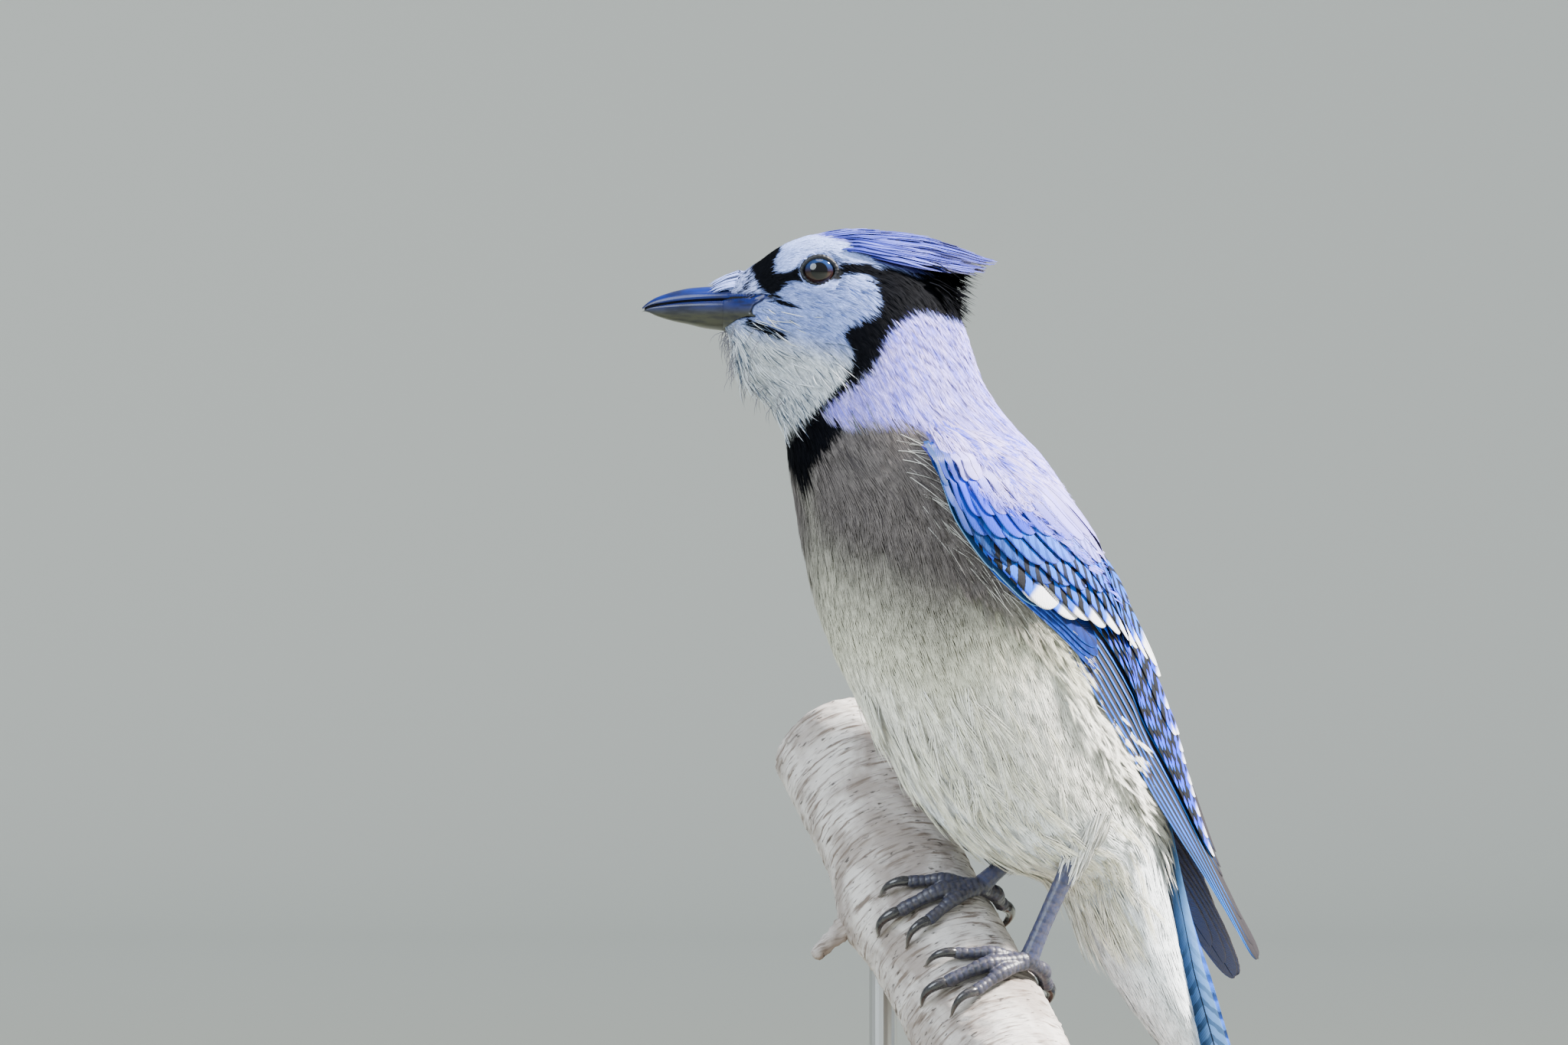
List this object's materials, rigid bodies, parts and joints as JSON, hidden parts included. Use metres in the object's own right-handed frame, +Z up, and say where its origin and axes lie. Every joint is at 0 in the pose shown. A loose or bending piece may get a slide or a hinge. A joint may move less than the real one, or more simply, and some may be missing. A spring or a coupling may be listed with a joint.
{
  "type": "blue jay on a perch",
  "caption": "Life-size still model of a perched, crested songbird with folded wings and long tail, gripping a cut branch on a rod stand.",
  "frame": {"origin": "middle of the underside of the stand's base, where it rests on the floor", "axes": "+Z up; the bird faces -X and its left side is towards -Y"},
  "size_m": [0.1604, 0.124, 0.2677],
  "materials": {
    "lavender_plumage": "soft matt plumage, lavender blue",
    "grey_plumage": "soft matt plumage, grey breast paling to a white belly",
    "white_plumage": "soft matt plumage, white",
    "blue_plumage": "smooth feathers, blue with black bars and white tips",
    "tail_plumage": "smooth feathers, blue with fine black bars",
    "bill_horn": "satin slate-black horn",
    "leg_scales": "satin blue-black scales",
    "claw_horn": "satin black horn",
    "eye": "polished dark brown",
    "bark": "matt grey-brown bark",
    "base_wood": "satin dark wood",
    "rod_steel": "brushed"
  },
  "bodies": {
    "root": {"head": "lavender_plumage", "neck": "lavender_plumage", "torso": "grey_plumage", "rump": "white_plumage", "tail": "tail_plumage", "wing_left": "blue_plumage", "wing_right": "blue_plumage", "thigh_left": "white_plumage", "tarsus_left": "leg_scales", "tarsus_right": "leg_scales", "foot_left": "leg_scales", "foot_right": "leg_scales", "bill_upper": "bill_horn", "bill_lower": "bill_horn", "eye_left": "eye", "eye_right": "eye", "perch": "bark", "stand_base": "base_wood", "stand_rod_upper": "rod_steel", "stand_rod_lower": "rod_steel", "claw_left_inner": "claw_horn", "claw_left_middle": "claw_horn", "claw_left_outer": "claw_horn", "claw_left_hind": "claw_horn", "claw_right_inner": "claw_horn", "claw_right_middle": "claw_horn", "claw_right_outer": "claw_horn", "claw_right_hind": "claw_horn"}
  },
  "joints": []
}
